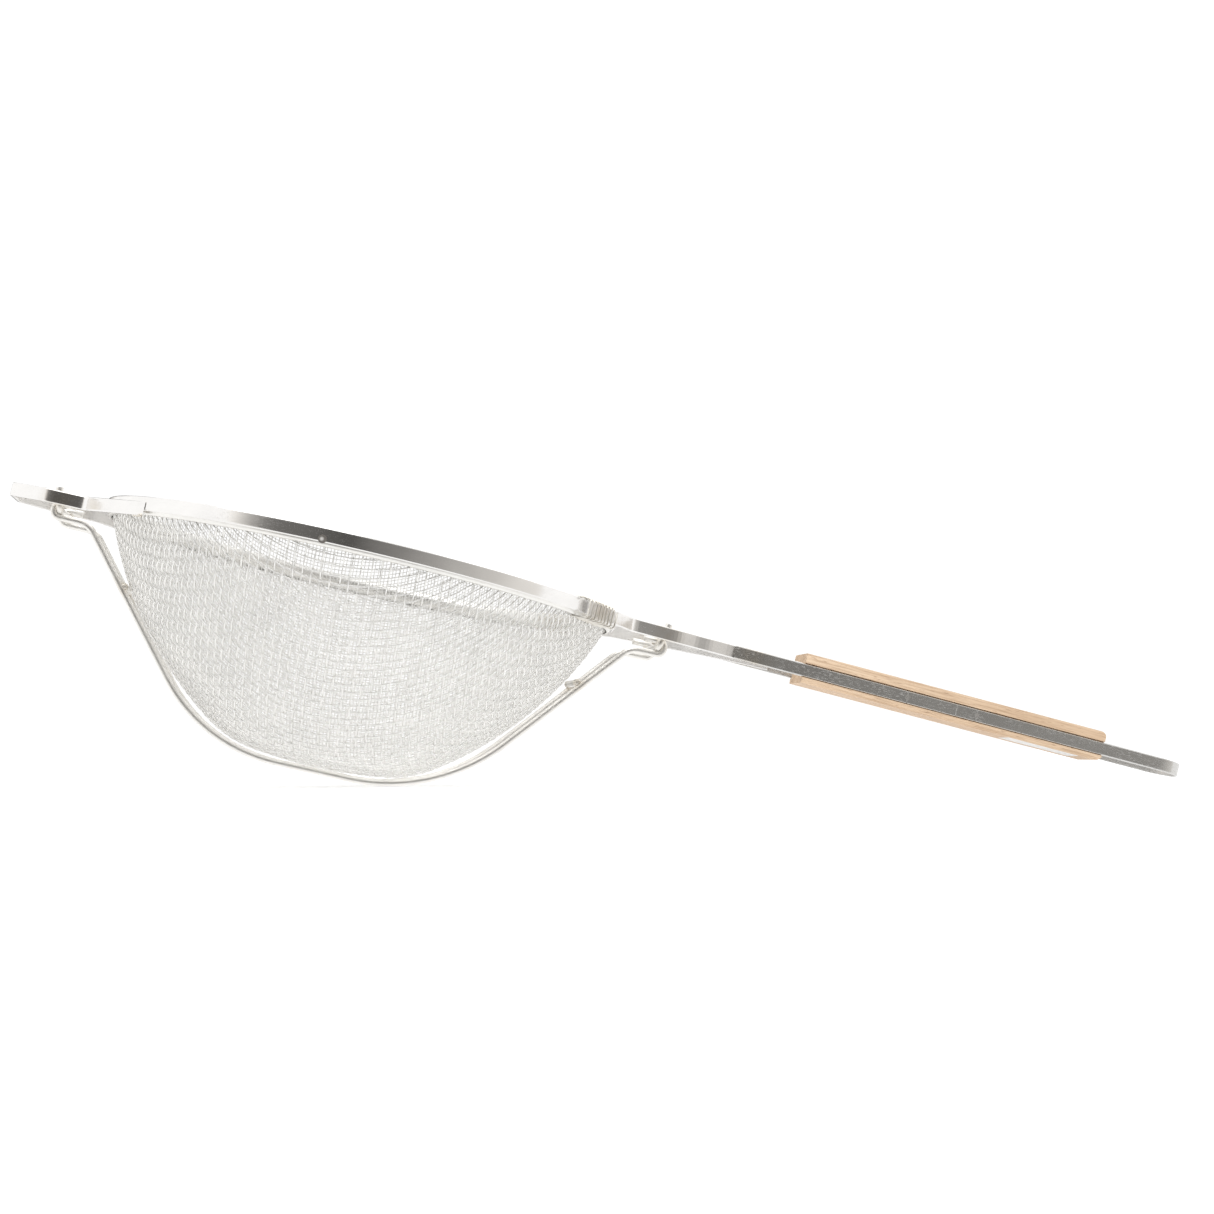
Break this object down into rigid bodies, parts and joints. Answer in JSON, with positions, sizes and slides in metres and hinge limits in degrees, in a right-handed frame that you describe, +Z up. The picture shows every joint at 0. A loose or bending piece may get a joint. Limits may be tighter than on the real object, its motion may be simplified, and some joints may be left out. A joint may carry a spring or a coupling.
{
  "type": "kitchen strainer",
  "caption": "Round-bottomed double-mesh kitchen strainer in a flat metal strap frame, with a front rest loop, guard wires under the bowl and a wooden grip ending in a hanging loop.",
  "frame": {"origin": "on the table, below the middle of the whole outline, as the strainer rests on its guard wires and on the end of its hanging loop", "axes": "+X toward the grip, +Z up from the table, +Y to the right-hand side of a user who holds the grip with the bowl pointing away; the hoop leans 13.3 degrees down toward the grip"},
  "size_m": [0.6992, 0.305, 0.1764],
  "materials": {
    "plated_strap": "bright nickel plate over rolled strap, faint brown heat marks at the welds",
    "plated_sheet": "bright tinned sheet",
    "plated_wire": "bright drawn wire, plated",
    "coarse_weave": "tinned coarse wire cloth",
    "fine_weave": "tinned fine wire cloth",
    "tinned_binding": "thin soft wire, heat-tinted where it was soldered",
    "weld": "rough weld metal under plating",
    "beech": "bare sanded beech, grain along the grip",
    "label": "blank white paper sticker"
  },
  "bodies": {
    "root": {"rim_hoop": "plated_strap", "rim_channel": "plated_sheet", "rim_core_wire": "plated_wire", "coarse_mesh": "coarse_weave", "fine_mesh": "fine_weave", "front_loop": "plated_strap", "fork_arm_left": "plated_strap", "fork_arm_right": "plated_strap", "handle_strap": "plated_strap", "wood_grip": "beech", "grip_pins": "plated_wire", "front_crossbar": "plated_wire", "rear_crossbar": "plated_wire", "guard_wire_left": "plated_wire", "guard_wire_right": "plated_wire", "stay_rod_front": "plated_wire", "stay_rod_rear": "plated_wire", "binding_wire_left": "tinned_binding", "binding_wire_right": "tinned_binding", "lap_spot_welds": "weld", "loop_welds": "weld", "crossbar_welds": "weld", "stay_welds": "weld", "rim_rivet": "plated_sheet", "paper_label": "label"}
  },
  "joints": []
}
